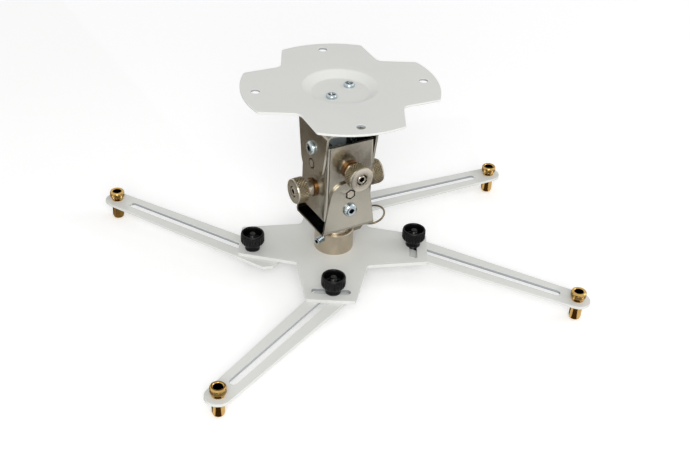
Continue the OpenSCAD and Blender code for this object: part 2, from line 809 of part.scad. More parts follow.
// A ribbed knob with a cup in its top, standing on its boss at z = 0
module ribbed_knob() {
    r = knob_d / 2;
    rib = 0.6;
    low = 5.5;
    cup_r = r - 2;
    steps = 4;
    bore = clamp_d / 2 + fit;
    difference() {
        union() {
            rotate_extrude() polygon([
                [0, 0], [5.6, 0], [6, 0.4], [6, 2.6], [r - rib - 0.2, low + 0.3],
                [r - rib - 0.2, knob_h - 0.4], [r - rib - 0.8, knob_h], [0, knob_h]]);
            translate([0, 0, low]) linear_extrude(knob_h - low - 0.6)
                polygon([for (k = [0:knob_ribs * steps - 1])
                    polar(r - rib * pow(sin(180 * k / steps), 2),
                          360 * k / (knob_ribs * steps))]);
        }
        translate([0, 0, knob_h - knob_cup]) rotate_extrude() polygon([
            [0, 0], [cup_r - 1.2, 0], [cup_r, 1.2], [cup_r, knob_cup - 0.5],
            [cup_r + 0.5, knob_cup], [cup_r + 0.5, knob_cup + cut], [0, knob_cup + cut]]);
        translate([0, 0, -cut]) cylinder(r = bore, h = knob_h);
    }
}

module clamp_knob(i) {
    color("black") at_bolt(i)
        translate([0, 0, hub_top_z + clamp_washer_t]) ribbed_knob();
}

module at_brass(i) {
    at_bolt(i) translate([arm_reach[i], 0, 0]) children();
}

// The upper half of a brass screw: knurled head, neck and the spigot that
// runs down through the arm into the leg
module brass_head(i) {
    r = brass_head_d / 2;
    neck = brass_d / 2;
    spigot = spigot_hole_d / 2;
    low = arm_low_z - 6;
    top = arm_top_z + brass_neck_h + brass_head_h;
    recess = brass_head_h + brass_neck_h - 1;
    color("goldenrod") at_brass(i) difference() {
        rotate_extrude() polygon([
            [0, low], [spigot, low], [spigot, arm_top_z], [neck, arm_top_z],
            [neck, arm_top_z + brass_neck_h], [r - 0.8, arm_top_z + brass_neck_h],
            [r, arm_top_z + brass_neck_h + 0.8], [r, top - 1], [r - 1, top], [0, top]]);
        translate([0, 0, low - cut]) cylinder(d = brass_bore, h = top - low + 2 * cut);
        translate([0, 0, top - recess]) cylinder(d = brass_recess_d, h = recess + cut);
    }
}

module brass_leg(i) {
    r = brass_d / 2;
    end = arm_low_z - brass_leg_l;
    spigot = spigot_hole_d / 2 + fit;
    top = arm_low_z - turn;
    color("goldenrod") at_brass(i) difference() {
        rotate_extrude() polygon(rounded([
            [0, end, 0], [r - 0.6, end, 1.5], [r, end + 3, 2], [r, top, 0], [0, top, 0]], 5));
        translate([0, 0, arm_low_z - 6.2]) cylinder(r = spigot, h = 6.2 + cut);
        translate([0, 0, end - cut]) cylinder(d = brass_bore, h = brass_leg_l + 2 * cut);
    }
}

ceiling_plate();
ceiling_spacer();
ceiling_screws();
ceiling_nuts();
upper_bracket();
head_tube();
tilt_pivot_screws();
roll_pivot_screws();
tilt_pivot_nuts();
roll_pivot_nuts();
tilt_screw();
tilt_knob_front();
tilt_knob_back();
tilt_lock_nuts();
tilt_thrust_washers();
tilt_trunnion();
roll_screw();
roll_knob_left();
roll_knob_right();
roll_lock_nuts();
roll_thrust_washers();
roll_trunnion();
lower_bracket();
swivel_post();
collar();
set_screw();
plunger_body();
plunger_pin();
pull_ring();
hub_plate();
hub_screws();
arm(0);  // arm_1
arm(1);  // arm_2
arm(2);  // arm_3
arm(3);  // arm_4
clamp_bolt(0);  // clamp_bolt_1
clamp_bolt(1);  // clamp_bolt_2
clamp_bolt(2);  // clamp_bolt_3
clamp_bolt(3);  // clamp_bolt_4
clamp_washer(0);  // clamp_washer_1
clamp_washer(1);  // clamp_washer_2
clamp_washer(2);  // clamp_washer_3
clamp_washer(3);  // clamp_washer_4
clamp_knob(0);  // clamp_knob_1
clamp_knob(1);  // clamp_knob_2
clamp_knob(2);  // clamp_knob_3
clamp_knob(3);  // clamp_knob_4
brass_head(0);  // brass_head_1
brass_head(1);  // brass_head_2
brass_head(2);  // brass_head_3
brass_head(3);  // brass_head_4
brass_leg(0);  // brass_leg_1
brass_leg(1);  // brass_leg_2
brass_leg(2);  // brass_leg_3
brass_leg(3);  // brass_leg_4
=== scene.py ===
import json
import math

import bmesh
import bpy
from mathutils import Matrix, Vector
from mathutils.bvhtree import BVHTree


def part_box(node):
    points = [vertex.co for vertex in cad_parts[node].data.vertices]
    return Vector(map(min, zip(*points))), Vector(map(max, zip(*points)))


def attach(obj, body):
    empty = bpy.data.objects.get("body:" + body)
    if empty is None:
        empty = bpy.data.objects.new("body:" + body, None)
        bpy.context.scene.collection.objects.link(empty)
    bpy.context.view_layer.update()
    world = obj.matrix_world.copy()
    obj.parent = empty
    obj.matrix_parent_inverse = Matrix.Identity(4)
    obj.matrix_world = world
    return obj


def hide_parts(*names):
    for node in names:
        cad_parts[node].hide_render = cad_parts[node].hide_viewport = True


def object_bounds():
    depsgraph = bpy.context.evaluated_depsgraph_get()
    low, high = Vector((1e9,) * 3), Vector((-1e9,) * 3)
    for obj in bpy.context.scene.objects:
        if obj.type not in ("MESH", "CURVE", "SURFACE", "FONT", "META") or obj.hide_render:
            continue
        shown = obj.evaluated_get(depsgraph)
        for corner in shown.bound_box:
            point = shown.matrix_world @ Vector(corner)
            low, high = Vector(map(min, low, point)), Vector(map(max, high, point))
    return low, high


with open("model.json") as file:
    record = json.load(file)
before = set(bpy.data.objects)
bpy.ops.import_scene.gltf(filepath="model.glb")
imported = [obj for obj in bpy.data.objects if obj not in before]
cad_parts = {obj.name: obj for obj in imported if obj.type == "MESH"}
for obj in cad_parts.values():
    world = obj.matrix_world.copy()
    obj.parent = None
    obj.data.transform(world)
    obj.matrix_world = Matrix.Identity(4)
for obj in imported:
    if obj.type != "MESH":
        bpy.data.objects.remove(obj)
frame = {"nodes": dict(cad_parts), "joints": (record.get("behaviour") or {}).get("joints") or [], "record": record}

cad_lo, cad_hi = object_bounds()

MM = 0.001
UP = Vector((0, 0, 1))
NODES = frame["nodes"]
JOINTS = {joint["name"]: joint for joint in frame["joints"]}


# Node trees

def add(tree, kind, inputs=None, **settings):
    """Adds one node. settings are its properties, inputs its sockets' values or what is linked to them."""
    node = tree.nodes.new(kind)
    for name, value in settings.items():
        setattr(node, name, value)
    for key, value in (inputs or {}).items():
        if isinstance(value, bpy.types.NodeSocket):
            tree.links.new(value, node.inputs[key])
        else:
            node.inputs[key].default_value = value
    return node


def linear(code):
    """The linear colour of an sRGB hex code, with alpha."""
    shares = [int(code[i:i + 2], 16) / 255 for i in (1, 3, 5)]
    return [s / 12.92 if s <= 0.04045 else ((s + 0.055) / 1.055) ** 2.4 for s in shares] + [1]


def per_mm(size):
    """The scale that gives a pattern features of that size in millimetres on Object coordinates."""
    return 1 / (size * MM)


def finish_of(name, metallic=0.0, ior=1.5):
    """A new material with its shader's uniform values set, and the nodes that its maker goes on with."""
    material = bpy.data.materials.new(name)
    material.use_nodes = True
    tree = material.node_tree
    shader = tree.nodes["Principled BSDF"]
    shader.inputs["Metallic"].default_value = metallic
    shader.inputs["IOR"].default_value = ior
    place = add(tree, "ShaderNodeTexCoord").outputs["Object"]
    return material, tree, shader, place


def spread(tree, factor, low, high):
    """A factor of 0 to 1 stretched to run from low to high."""
    return add(tree, "ShaderNodeMapRange", {"Value": factor, "To Min": low, "To Max": high}).outputs["Result"]


def powder_coat(name, dark, light):
    """Semi-gloss polyester powder coat, sprayed and baked, with a fine orange peel."""
    material, tree, shader, place = finish_of(name)
    cloud = add(tree, "ShaderNodeTexNoise", {"Vector": place, "Scale": per_mm(45), "Detail": 2.0})
    tone = add(tree, "ShaderNodeMix", {0: cloud.outputs[0], 6: linear(dark), 7: linear(light)},
               data_type="RGBA")
    tree.links.new(tone.outputs[2], shader.inputs["Base Color"])
    peel = add(tree, "ShaderNodeTexNoise", {"Vector": place, "Scale": per_mm(1.4), "Detail": 1.0})
    tree.links.new(spread(tree, peel.outputs[0], 0.34, 0.42), shader.inputs["Roughness"])
    bump = add(tree, "ShaderNodeBump", {"Height": peel.outputs[0], "Strength": 0.25, "Distance": 0.03 * MM})
    tree.links.new(bump.outputs[0], shader.inputs["Normal"])
    return material


def nickel_sheet(name, dark, light):
    """Nickel plate on cold rolled sheet: faintly cloudy, with a fine rolled grain that blurs reflections."""
    material, tree, shader, place = finish_of(name, metallic=1.0)
    cloud = add(tree, "ShaderNodeTexNoise", {"Vector": place, "Scale": per_mm(9), "Detail": 3.0})
    tone = add(tree, "ShaderNodeMix", {0: cloud.outputs[0], 6: linear(dark), 7: linear(light)},
               data_type="RGBA")
    tree.links.new(tone.outputs[2], shader.inputs["Base Color"])
    grain = add(tree, "ShaderNodeTexNoise", {"Vector": place, "Scale": per_mm(0.7), "Detail": 2.0})
    mixed = add(tree, "ShaderNodeMix", {0: 0.6, 2: grain.outputs[0], 3: cloud.outputs[0]})
    tree.links.new(spread(tree, mixed.outputs[0], 0.16, 0.32), shader.inputs["Roughness"])
    bump = add(tree, "ShaderNodeBump", {"Height": grain.outputs[0], "Strength": 0.35, "Distance": 0.02 * MM})
    tree.links.new(bump.outputs[0], shader.inputs["Normal"])
    return material


# Blender's band wave goes through this many radians in one unit of its coordinates
WAVE_RADIANS = 20


def turned_metal(name, dark, light, low, high, radian=0.35, groove=None, metallic=1.0):
    """A metal turned on a lathe, in two tones of one colour, with a roughness from low to high. Its rings lie
    2 pi times radian mm apart, coarser than real ones, so that they show. With a groove shade colour, what
    the groove attribute marks takes that colour as painted shade."""
    material, tree, shader, place = finish_of(name, metallic=metallic)
    cloud = add(tree, "ShaderNodeTexNoise", {"Vector": place, "Scale": per_mm(5), "Detail": 3.0})
    tone = add(tree, "ShaderNodeMix", {0: cloud.outputs[0], 6: linear(dark), 7: linear(light)},
               data_type="RGBA")
    if groove:
        cut = add(tree, "ShaderNodeAttribute", attribute_name="groove").outputs["Fac"]
        tone = add(tree, "ShaderNodeMix", {0: cut, 6: tone.outputs[2], 7: linear(groove)},
                   data_type="RGBA")
    tree.links.new(tone.outputs[2], shader.inputs["Base Color"])
    tree.links.new(spread(tree, cloud.outputs[0], low, high), shader.inputs["Roughness"])
    rings = add(tree, "ShaderNodeTexWave", {"Vector": place, "Scale": per_mm(radian) / WAVE_RADIANS,
                                            "Distortion": 1.5, "Detail": 2.0},
                wave_type="BANDS", bands_direction="Z")
    bump = add(tree, "ShaderNodeBump", {"Height": rings.outputs["Fac"], "Strength": 0.08,
                                        "Distance": 0.01 * MM})
    tree.links.new(bump.outputs[0], shader.inputs["Normal"])
    return material


def black_nylon():
    # Injection moulded black nylon: nearly black, satin, with a very fine mould texture
    material, tree, shader, place = finish_of("moulded_nylon_black", ior=1.53)
    shader.inputs["Specular IOR Level"].default_value = 0.16
    speck = add(tree, "ShaderNodeTexNoise", {"Vector": place, "Scale": per_mm(0.6), "Detail": 2.0})
    tone = add(tree, "ShaderNodeMix", {0: speck.outputs[0], 6: linear("#050506"), 7: linear("#0b0b0c")},
               data_type="RGBA")
    tree.links.new(tone.outputs[2], shader.inputs["Base Color"])
    tree.links.new(spread(tree, speck.outputs[0], 0.28, 0.44), shader.inputs["Roughness"])
    bump = add(tree, "ShaderNodeBump", {"Height": speck.outputs[0], "Strength": 0.2, "Distance": 0.02 * MM})
    tree.links.new(bump.outputs[0], shader.inputs["Normal"])
    return material


# The sheets' faces and rims: warm white
POWDER_COAT = powder_coat("powder_coat_white", "#dcddd9", "#e1e2de")
# The walls of slots and holes: cool grey, painted shade on the white coat
SLOT_SHADE_COAT = powder_coat("powder_coat_slot_shade", "#9a9ea2", "#a8acaf")
# Satin nickel plate: a warm grey
NICKEL = nickel_sheet("nickel_plate_satin", "#a29d91", "#b5b0a4")
# Painted shade inside the tube and on the lower web: the nickel nearly black
SHADED_NICKEL = nickel_sheet("nickel_plate_painted_shade", "#22211f", "#302e2b")
# Painted light on the far inside wall of the tube: pale, cool and chalky
LIT_WALL_COLOUR = turned_metal("tube_wall_painted_light", "#d3e6ea", "#eaf6f8", 0.42, 0.55, metallic=0.0)
# Nickel plate on turned steel: brighter and warmer than the sheet, with near black painted shade in the knobs'
# ring grooves and the adjusting screws' sockets and ends
TURNED_NICKEL = turned_metal("nickel_plate_turned", "#b5ad9f", "#cdc6b8", 0.22, 0.34, groove="#0b0a09")
# Satin nickel on the collar: smooth and slightly tan, with a near black painted shade for grooves
SATIN_NICKEL = turned_metal("nickel_plate_tan", "#b5a894", "#c4b9a6", 0.30, 0.36, groove="#0b0a09")
# Nickel over a knurl: brown and dull, with dark brown painted shade where the cut is deep
KNURLED_NICKEL = turned_metal("nickel_plate_knurled", "#b8a685", "#d3c4a3", 0.22, 0.34, groove="#1c150d")
# Aged nickel plate on the plunger and its ring: dull and brown
DARK_NICKEL = turned_metal("nickel_plate_dark", "#6f6350", "#8f8168", 0.24, 0.36)
# Blue passivated zinc on steel screws: bright, cool and smooth, with dark painted shade in threads and sockets
ZINC = turned_metal("zinc_plate_blue", "#a9b5bb", "#c6d0d4", 0.14, 0.26, 0.5, groove="#20262a")
# Black oxide on the clamp bolts and their washers: dark grey, with black painted shade in the thread
BLACK_OXIDE = turned_metal("black_oxide_steel", "#3c3d3e", "#585a5a", 0.24, 0.36, groove="#0a0a0a")
# Oiled tin bronze, plain turned: amber
BRONZE = turned_metal("bronze_oiled", "#60452a", "#84603a", 0.26, 0.38)
# Free cutting brass as it leaves the lathe: yellow brown, with sharp reflections, and dark brown painted shade in
# the knurl and the recess
BRASS = turned_metal("brass_turned", "#b48d4b", "#d9b674", 0.12, 0.22, groove="#3c2a10")
BLACK_NYLON = black_nylon()


# Geometry trees

def socket(tree, name, kind, default=None):
    """A named input of a geometry tree."""
    made = tree.interface.new_socket(name, in_out="INPUT", socket_type=kind)
    if default is not None:
        made.default_value = default


def tri_wave(tree, phase):
    """1 where phase is whole, 0 half way between, straight in between."""
    share = add(tree, "ShaderNodeMath", {0: phase}, operation="FRACT").outputs[0]
    doubled = add(tree, "ShaderNodeMath", {0: share, 1: 2.0, 2: -1.0}, operation="MULTIPLY_ADD").outputs[0]
    return add(tree, "ShaderNodeMath", {0: doubled}, operation="ABSOLUTE").outputs[0]


def relief_tree():
    """Cuts threads, ribs or a diamond knurl round local Z, as deep as the attribute "relief" says. What is cut,
    and what the shade attribute marks, is stored as the groove shade attribute, which the finishes paint dark as
    shade."""
    tree = bpy.data.node_groups.new("cut_relief", "GeometryNodeTree")
    socket(tree, "Geometry", "NodeSocketGeometry")
    socket(tree, "Depth", "NodeSocketFloat", 0.3 * MM)
    socket(tree, "Starts", "NodeSocketFloat", 1.0)
    socket(tree, "Pitch", "NodeSocketFloat", 1.0 * MM)
    socket(tree, "Crossed", "NodeSocketFloat", 0.0)
    socket(tree, "Ground", "NodeSocketMaterial")
    socket(tree, "Finish", "NodeSocketMaterial")
    tree.interface.new_socket("Geometry", in_out="OUTPUT", socket_type="NodeSocketGeometry")
    given = add(tree, "NodeGroupInput").outputs
    place = add(tree, "GeometryNodeInputPosition").outputs[0]
    xyz = add(tree, "ShaderNodeSeparateXYZ", {0: place}).outputs
    angle = add(tree, "ShaderNodeMath", {0: xyz["Y"], 1: xyz["X"]}, operation="ARCTAN2").outputs[0]
    turns = add(tree, "ShaderNodeMath", {0: angle, 1: 2 * math.pi}, operation="DIVIDE").outputs[0]
    around = add(tree, "ShaderNodeMath", {0: turns, 1: given["Starts"]}, operation="MULTIPLY").outputs[0]
    along = add(tree, "ShaderNodeMath", {0: xyz["Z"], 1: given["Pitch"]}, operation="DIVIDE").outputs[0]
    right = add(tree, "ShaderNodeMath", {0: around, 1: along}, operation="SUBTRACT").outputs[0]
    left = add(tree, "ShaderNodeMath", {0: around, 1: along}, operation="ADD").outputs[0]
    right_cut = add(tree, "ShaderNodeMath", {0: 1.0, 1: tri_wave(tree, right)},
                    operation="SUBTRACT").outputs[0]
    left_cut = add(tree, "ShaderNodeMath", {0: 1.0, 1: tri_wave(tree, left)},
                   operation="SUBTRACT").outputs[0]
    left_share = add(tree, "ShaderNodeMath", {0: left_cut, 1: given["Crossed"]},
                     operation="MULTIPLY").outputs[0]
    cut = add(tree, "ShaderNodeMath", {0: right_cut, 1: left_share}, operation="MAXIMUM").outputs[0]
    relief = add(tree, "GeometryNodeInputNamedAttribute", {"Name": "relief"}, data_type="FLOAT").outputs[0]
    painted_shade = add(tree, "GeometryNodeInputNamedAttribute", {"Name": "painted_shade"}, data_type="FLOAT").outputs[0]
    weighed = add(tree, "ShaderNodeMath", {0: cut, 1: relief}, operation="MULTIPLY").outputs[0]
    dark = add(tree, "ShaderNodeMath", {0: weighed, 1: painted_shade}, operation="MAXIMUM").outputs[0]
    depth = add(tree, "ShaderNodeMath", {0: weighed, 1: given["Depth"]}, operation="MULTIPLY").outputs[0]
    flat = add(tree, "ShaderNodeCombineXYZ", {"X": xyz["X"], "Y": xyz["Y"]}).outputs[0]
    outward = add(tree, "ShaderNodeVectorMath", {0: flat}, operation="NORMALIZE").outputs[0]
    inward = add(tree, "ShaderNodeMath", {0: depth, 1: -1.0}, operation="MULTIPLY").outputs[0]
    shift = add(tree, "ShaderNodeVectorMath", {0: outward, "Scale": inward}, operation="SCALE").outputs[0]
    marked = add(tree, "GeometryNodeStoreNamedAttribute", {"Geometry": given["Geometry"], "Name": "groove",
                                                           "Value": dark}, data_type="FLOAT", domain="POINT")
    moved = add(tree, "GeometryNodeSetPosition", {"Geometry": marked.outputs[0], "Offset": shift}).outputs[0]
    split = add(tree, "GeometryNodeTriangulate", {0: moved}).outputs[0]
    real = add(tree, "GeometryNodeRealizeInstances", {0: split}).outputs[0]
    plain_faces = add(tree, "GeometryNodeSetMaterial", {"Geometry": real,
                                                        "Material": given["Ground"]}).outputs[0]
    worked = add(tree, "FunctionNodeCompare", {0: relief, 1: 0.5}, operation="GREATER_THAN").outputs[0]
    done = add(tree, "GeometryNodeSetMaterial", {"Geometry": plain_faces, "Selection": worked,
                                                 "Material": given["Finish"]}).outputs[0]
    add(tree, "NodeGroupOutput", {0: done})
    return tree


def ring_tree():
    """A round wire bent to a closed ring about local Z."""
    tree = bpy.data.node_groups.new("wire_ring", "GeometryNodeTree")
    socket(tree, "Geometry", "NodeSocketGeometry")
    socket(tree, "Radius", "NodeSocketFloat", 12 * MM)
    socket(tree, "Wire", "NodeSocketFloat", 0.8 * MM)
    socket(tree, "Finish", "NodeSocketMaterial")
    tree.interface.new_socket("Geometry", in_out="OUTPUT", socket_type="NodeSocketGeometry")
    given = add(tree, "NodeGroupInput").outputs
    path = add(tree, "GeometryNodeCurvePrimitiveCircle", {"Resolution": 96, "Radius": given["Radius"]})
    wire = add(tree, "GeometryNodeCurvePrimitiveCircle", {"Resolution": 16, "Radius": given["Wire"]})
    swept = add(tree, "GeometryNodeCurveToMesh", {"Curve": path.outputs[0], "Profile Curve": wire.outputs[0]})
    smooth = add(tree, "GeometryNodeSetShadeSmooth", {"Geometry": swept.outputs[0]}).outputs[0]
    real = add(tree, "GeometryNodeRealizeInstances", {0: smooth}).outputs[0]
    done = add(tree, "GeometryNodeSetMaterial", {"Geometry": real, "Material": given["Finish"]}).outputs[0]
    add(tree, "NodeGroupOutput", {0: done})
    return tree


RELIEF = relief_tree()
WIRE_RING = ring_tree()


def run_tree(piece, tree, **inputs):
    """Runs a geometry tree on a piece and keeps the plain mesh."""
    modifier = piece.modifiers.new(tree.name, "NODES")
    modifier.node_group = tree
    for item in tree.interface.items_tree:
        if item.in_out == "INPUT" and item.name in inputs:
            modifier[item.identifier] = inputs[item.name]
    bake(piece)


def bake(piece):
    """Replaces a piece's mesh by what its modifiers give, and removes them."""
    bpy.context.view_layer.update()
    graph = bpy.context.evaluated_depsgraph_get()
    mesh = bpy.data.meshes.new_from_object(piece.evaluated_get(graph), depsgraph=graph)
    mesh.name = piece.name
    piece.modifiers.clear()
    piece.data = mesh


# Pieces

def new_piece(name, mesh, finish):
    piece = bpy.data.objects.new(name, mesh)
    bpy.context.scene.collection.objects.link(piece)
    piece.data.materials.clear()
    piece.data.materials.append(finish)
    return piece


def smooth(piece, angle=32):
    """Smooth shading, sharp where faces meet at more than angle."""
    for face in piece.data.polygons:
        face.use_smooth = True
    piece.data.set_sharp_from_angle(angle=math.radians(angle))


def settle(piece, body, slot, *nodes):
    """The piece rides on its body and stands for its CAD nodes."""
    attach(piece, body)
    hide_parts(*nodes)
    return piece


def body_of(node):
    return next(body for body, names in frame["record"]["behaviour"]["bodies"].items() if node in names)


# Points of a CAD mesh nearer than this many millimetres are one
MERGE_WITHIN = 0.001
# Folds of a CAD mesh under this many degrees are flat, and those over SHARP_FOLD are rounded
FLAT_FOLD = 0.6
SHARP_FOLD = 40


def dressed(node, finish, slot, edge=0.25, segments=2):
    """A copy of a CAD node with its sharp edges rounded, edge mm wide, which stands for the node."""
    mesh = NODES[node].data.copy()
    work = bmesh.new()
    work.from_mesh(mesh)
    bmesh.ops.remove_doubles(work, verts=work.verts, dist=MERGE_WITHIN * MM)
    bmesh.ops.dissolve_limit(work, angle_limit=math.radians(FLAT_FOLD), verts=work.verts, edges=work.edges)
    work.to_mesh(mesh)
    work.free()
    piece = new_piece("dressed_" + node, mesh, finish)
    smooth(piece)
    bevel = piece.modifiers.new("edges", "BEVEL")
    bevel.width = edge * MM
    bevel.segments = segments
    bevel.limit_method = "ANGLE"
    bevel.angle_limit = math.radians(SHARP_FOLD)
    bevel.use_clamp_overlap = True
    bevel.miter_outer = "MITER_ARC"
    bevel.harden_normals = True
    bake(piece)
    return settle(piece, body_of(node), slot, node)


def polygon_radius(sides, across, angle):
    """The distance from the middle of a regular polygon to its outline, with a flat across angle 0."""
    step = 2 * math.pi / sides
    off = (angle + step / 2) % step - step / 2
    return across / 2 / math.cos(off)


class Lathe:
    """A closed body of revolution about local Z: rings from one pole or bore to the other."""

    def __init__(self, segments):
        self.segments = segments
        self.mesh = bmesh.new()
        self.relief = self.mesh.verts.layers.float.new("relief")
        # Painted shade, from 0 to 1, for sockets, recesses, ring grooves and screw ends, where shade falls
        self.painted_shade = self.mesh.verts.layers.float.new("painted_shade")
        self.rings = []

    def ring(self, r, z, relief=0.0, sides=0, twist=0.0, painted_shade=0.0):
        """One ring at height z. With sides, r is half the width across a polygon's flats. A shade value above 0
        darkens it as painted shade.
        """
        made = []
        for i in range(self.segments if r > 0 else 1):
            a = 2 * math.pi * i / self.segments
            reach = polygon_radius(sides, 2 * r, a - twist) if sides else r
            vert = self.mesh.verts.new((reach * math.cos(a) * MM, reach * math.sin(a) * MM, z * MM))
            vert[self.relief] = relief
            vert[self.painted_shade] = painted_shade
            made.append(vert)
        self.rings.append(made)
        return self

    def path(self, *points, painted_shade=0.0):
        for r, z in points:
            self.ring(r, z, painted_shade=painted_shade)
        return self

    def block(self, lo, hi, turn):
        """A small box between two corners, turned about local Z."""
        outline = ((lo[0], lo[1]), (hi[0], lo[1]), (hi[0], hi[1]), (lo[0], hi[1]))
        corners = [Vector((x, y, z)) * MM for z in (lo[2], hi[2]) for x, y in outline]
        verts = [self.mesh.verts.new(Matrix.Rotation(turn, 3, "Z") @ corner) for corner in corners]
        for face in ((3, 2, 1, 0), (4, 5, 6, 7), (0, 1, 5, 4), (1, 2, 6, 5), (2, 3, 7, 6), (3, 0, 4, 7)):
            self.mesh.faces.new([verts[k] for k in face])

    def band(self, r, z0, z1, rows):
        """Rings from z0 to z1 that take the whole relief."""
        for i in range(rows + 1):
            self.ring(r, z0 + (z1 - z0) * i / rows, 1.0)

    def join(self, one, two):
        n = self.segments
        if len(one) == 1 and len(two) == 1:
            return
        for i in range(n):
            j = (i + 1) % n
            corners = [one[i % len(one)], one[j % len(one)], two[j % len(two)], two[i % len(two)]]
            self.mesh.faces.new(list(dict.fromkeys(corners)))

    def close(self, bored=False):
        """The finished mesh, its faces outward. bored joins the last ring to the first through the bore."""
        for one, two in zip(self.rings, self.rings[1:]):
            self.join(one, two)
        if bored:
            self.join(self.rings[-1], self.rings[0])
        bmesh.ops.recalc_face_normals(self.mesh, faces=self.mesh.faces)
        mesh = bpy.data.meshes.new("turned")
        self.mesh.to_mesh(mesh)
        self.mesh.free()
        return mesh


def span(node, along):
    """The lowest and the highest place of a CAD node along a direction."""
    places = [vertex.co.dot(along) for vertex in NODES[node].data.vertices]
    return min(places), max(places)


def length_of(node, along):
    """How long a CAD node is along a direction, in millimetres."""
    low, high = span(node, Vector(along))
    return (high - low) / MM


def stood(piece, node, along):
    """Bakes into the piece's mesh a move of local Z to direction along, from the near end of the CAD node."""
    along = Vector(along).normalized()
    lo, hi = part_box(node)
    centre = (lo + hi) / 2
    foot = centre + along * (span(node, along)[0] - centre.dot(along))
    turn = along.to_track_quat("Z", "Y").to_matrix().to_4x4()
    piece.data.transform(Matrix.Translation(foot) @ turn)


# Slots and holes are narrower than this, and a look across one starts this far off its wall, in millimetres
SLOT_WIDEST = 12.0
LOOK_START = 0.05
# Height of the lower web with its inner bends over the bracket's foot, in millimetres
WEB_INSIDE = 5.0
ARMS = (1, 2, 3, 4)
PAINTED = ["ceiling_plate", "hub_plate"] + [f"arm_{i}" for i in ARMS]


def grey_slots(piece):
    """Gives the grey painted shade to upright faces that look at the same piece across a slot or a hole."""
    piece.data.materials.append(SLOT_SHADE_COAT)
    points = [vertex.co for vertex in piece.data.vertices]
    walls = BVHTree.FromPolygons(points, [face.vertices for face in piece.data.polygons])
    for face in piece.data.polygons:
        level = Vector((face.normal.x, face.normal.y, 0))
        upright = level.length > 0.8
        start = face.center + level * LOOK_START * MM
        if upright and walls.ray_cast(start, level, SLOT_WIDEST * MM)[0]:
            face.material_index = 1


def lower_bracket():
    """The lower bracket, with nearly black painted shade on the inside of its web and bends."""
    piece = dressed("lower_bracket", NICKEL, "nickel", edge=0.35, segments=3)
    piece.data.materials.append(SHADED_NICKEL)
    web_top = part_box("lower_bracket")[0].z + WEB_INSIDE * MM
    for face in piece.data.polygons:
        looks_up = face.normal.z > 0.2
        if looks_up and face.center.z < web_top:
            face.material_index = 1


def head_tube():
    """The tube, with nearly black painted shade on every face that looks at its axis, and pale painted light on
    the far one of them.
    """
    piece = dressed("head_tube", NICKEL, "nickel", edge=0.35, segments=3)
    piece.data.materials.append(SHADED_NICKEL)
    piece.data.materials.append(LIT_WALL_COLOUR)
    for face in piece.data.polygons:
        looks_in = face.normal.xy.dot(face.center.xy) < -0.5 * face.center.xy.length
        far_wall = face.normal.y < -0.9
        if looks_in:
            face.material_index = 2 if far_wall else 1


# Sheet metal and other CAD forms with rounded edges
for node in PAINTED:
    grey_slots(dressed(node, POWDER_COAT, "white_paint", edge=0.55, segments=3))
dressed("upper_bracket", NICKEL, "nickel", edge=0.35, segments=3)
lower_bracket()
head_tube()
dressed("collar", SATIN_NICKEL, "nickel", edge=0.3)
dressed("swivel_post", TURNED_NICKEL, "nickel", edge=0.25)
for node in ("tilt_trunnion", "roll_trunnion"):
    dressed(node, TURNED_NICKEL, "nickel", edge=0.7, segments=1)
for node in ("ceiling_spacer", "tilt_pivot_nuts", "roll_pivot_nuts", "ceiling_nuts", "hub_screws"):
    dressed(node, ZINC, "zinc", edge=0.15)
for node in ("tilt_lock_nuts", "roll_lock_nuts"):
    dressed(node, TURNED_NICKEL, "zinc", edge=0.2)
for node in ("tilt_thrust_washers", "roll_thrust_washers"):
    dressed(node, BRONZE, "bronze", edge=0.2)
for i in ARMS:
    dressed(f"clamp_washer_{i}", BLACK_OXIDE, "zinc", edge=0.15)
dressed("ceiling_screws", ZINC, "zinc", edge=0.15)


def pivot_screws(node, axis):
    """Two button head screws with hexagon sockets, one in each ear. Lathe points are radius, height in mm."""
    axis = Vector(axis)
    lo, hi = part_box(node)
    far = span(node, axis)[1]
    near = min(abs(vertex.co.dot(axis)) for vertex in NODES[node].data.vertices)
    length = (far - near) / MM
    shank_r = 3.0
    head_r = (hi.z - lo.z) / 2 / MM
    head_h = 3.3
    base = length - head_h
    lip = 0.5
    steps = 6
    socket_half = 2.0
    work = bmesh.new()
    for side in (1, -1):
        lathe = Lathe(48)
        lathe.path((0, 0), (shank_r - 0.5, 0), (shank_r, 0.5), (shank_r, base), (head_r - 0.15, base))
        lathe.ring(head_r, base + lip)
        for k in range(1, steps + 1):
            turn = math.pi / 2 * k / steps
            reach = shank_r + (head_r - shank_r) * math.cos(turn)
            lathe.ring(reach, base + lip + (head_h - lip) * math.sin(turn))
        lathe.ring(socket_half * 1.25, length - 0.05)
        lathe.ring(socket_half, length - 0.3, sides=6, painted_shade=1.0)
        lathe.ring(socket_half, length - 2.0, sides=6, painted_shade=1.0)
        lathe.ring(0, length - 1.8, painted_shade=1.0)
        mesh = lathe.close()
        foot = Vector((0, 0, (lo.z + hi.z) / 2)) + axis * side * near
        turn = (axis * side).to_track_quat("Z", "Y").to_matrix().to_4x4()
        mesh.transform(Matrix.Translation(foot) @ turn)
        work.from_mesh(mesh)
    mesh = bpy.data.meshes.new(node)
    work.to_mesh(mesh)
    work.free()
    piece = new_piece(node + "_turned", mesh, ZINC)
    run_tree(piece, RELIEF, Depth=0.0, Starts=1.0, Pitch=1.0, Crossed=0.0, Ground=ZINC, Finish=ZINC)
    smooth(piece, 30)
    settle(piece, body_of(node), "zinc", node)


pivot_screws("tilt_pivot_screws", (1, 0, 0))
pivot_screws("roll_pivot_screws", (0, 1, 0))


THUMB_R = 11.0
THUMB_BORE = 4.1
# Diamonds round a thumb knob: coarser than the real knurl, so that they show
DIAMONDS = 26
# Bridges across the ring groove round the screw's end, which is painted black as shade
BRIDGES = 4


